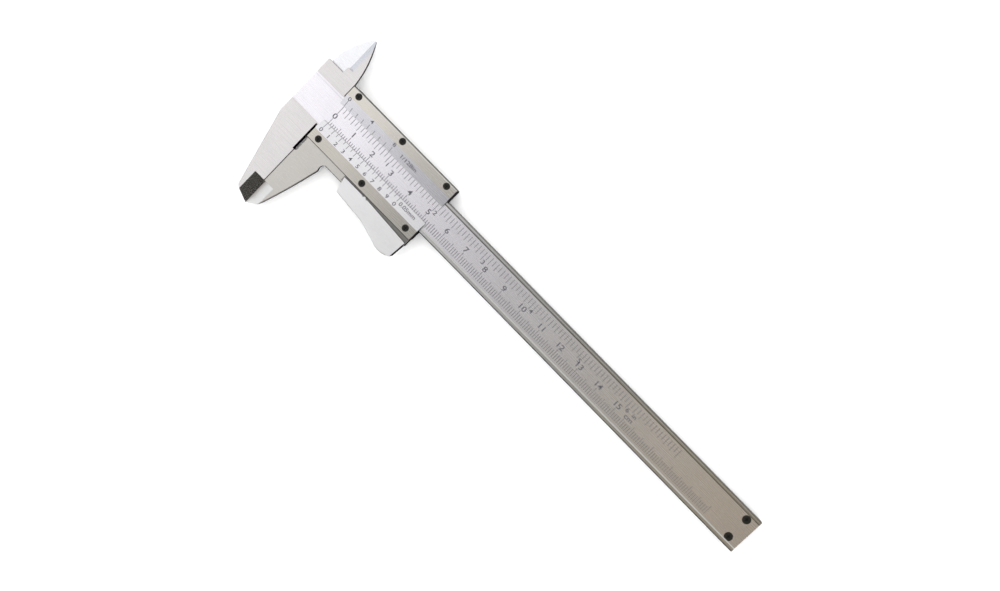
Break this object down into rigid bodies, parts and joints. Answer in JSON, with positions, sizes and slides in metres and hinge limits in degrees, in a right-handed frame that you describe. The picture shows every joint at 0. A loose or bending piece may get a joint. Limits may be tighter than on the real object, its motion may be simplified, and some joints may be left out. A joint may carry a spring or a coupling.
{
  "type": "vernier caliper",
  "caption": "Vernier sliding caliper with inside and outside jaws, depth rod and a sprung thumb clamp lever.",
  "frame": {"origin": "under the middle of the whole caliper, on the plane of the slider's back plate", "axes": "+X along the beam towards its free end, +Y towards the inside jaws, +Z out of the scale face"},
  "size_m": [0.2336, 0.078, 0.0072],
  "materials": {
    "blade_steel": "satin chrome-plated stainless steel",
    "slider_steel": "ground stainless steel",
    "satin_chrome": "matt satin chrome",
    "lever_chrome": "pressed and satin plated steel",
    "blackened_steel": "black oxide",
    "spring_steel": "drawn wire",
    "phosphor_bronze": "rolled strip",
    "brass": "turned"
  },
  "bodies": {
    "beam": {"beam": "blade_steel", "stop_plate": "blade_steel", "stop_screw_1": "blackened_steel", "stop_screw_2": "blackened_steel"},
    "slider": {"slider_jaw": "slider_steel", "upper_rail": "slider_steel", "back_plate": "slider_steel", "upper_vernier_plate": "satin_chrome", "lower_vernier_plate": "satin_chrome", "plate_screw_1": "blackened_steel", "plate_screw_2": "blackened_steel", "plate_screw_3": "blackened_steel", "plate_screw_4": "blackened_steel", "plate_screw_5": "blackened_steel", "plate_screw_6": "blackened_steel", "gib_strip": "phosphor_bronze", "gib_screw_1": "blackened_steel", "gib_screw_2": "blackened_steel", "depth_rod": "slider_steel", "depth_rod_screw": "blackened_steel", "lever_pivot_pin": "spring_steel", "lever_spring": "spring_steel"},
    "lever": {"thumb_lever": "lever_chrome"},
    "brake": {"brake_pin": "brass"}
  },
  "joints": [
    {"name": "slider_slide", "type": "slide", "parent": "beam", "child": "slider", "axis": [1, 0, 0], "range_m": [0, 0.154]},
    {"name": "lever_pivot", "type": "hinge", "parent": "slider", "child": "lever", "pos_m": [-0.0706, -0.00537, 0.0038], "axis": [0, 0, 1], "range_deg": [0, 3], "stiffness_Nm_per_rad": 0.1, "springref_deg": -11.46, "deforming": ["lever_spring"]},
    {"name": "brake_slide", "type": "slide", "parent": "slider", "child": "brake", "axis": [0, -1, 0], "range_m": [0, 0.00045]}
  ],
  "couplings": [
    {"joint": "brake_slide", "follows": "lever_pivot", "m_per_rad": 0.0076}
  ]
}
